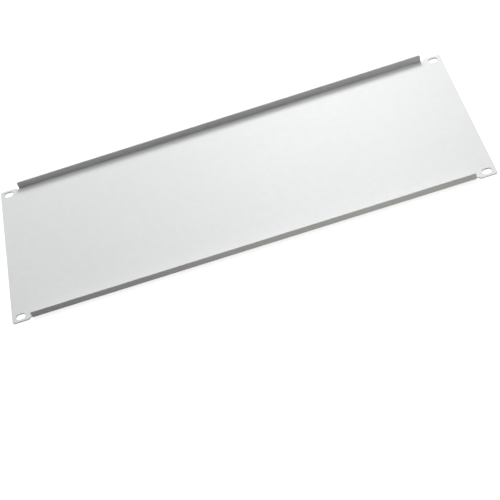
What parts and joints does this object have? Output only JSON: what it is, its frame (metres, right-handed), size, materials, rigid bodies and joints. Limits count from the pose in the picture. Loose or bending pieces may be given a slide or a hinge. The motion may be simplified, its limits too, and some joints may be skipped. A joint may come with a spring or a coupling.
{
  "type": "rack blanking panel",
  "caption": "Flat folded sheet-steel filler panel for a 19-inch rack, four units high, with shallow stiffening flanges and obround screw slots in its ears.",
  "frame": {"origin": "centre of the front face, which lies on z = 0; it is also the bottom centre of the bounding box", "axes": "+X along the panel's width, +Y along its height as mounted, +Z from the front face towards the rack, the way the two flanges point"},
  "size_m": [0.4826, 0.177, 0.0094],
  "materials": {
    "powder_coat": "light grey powder coat, fine texture, low sheen, on folded steel sheet"
  },
  "bodies": {
    "root": {"panel": "powder_coat"}
  },
  "joints": []
}
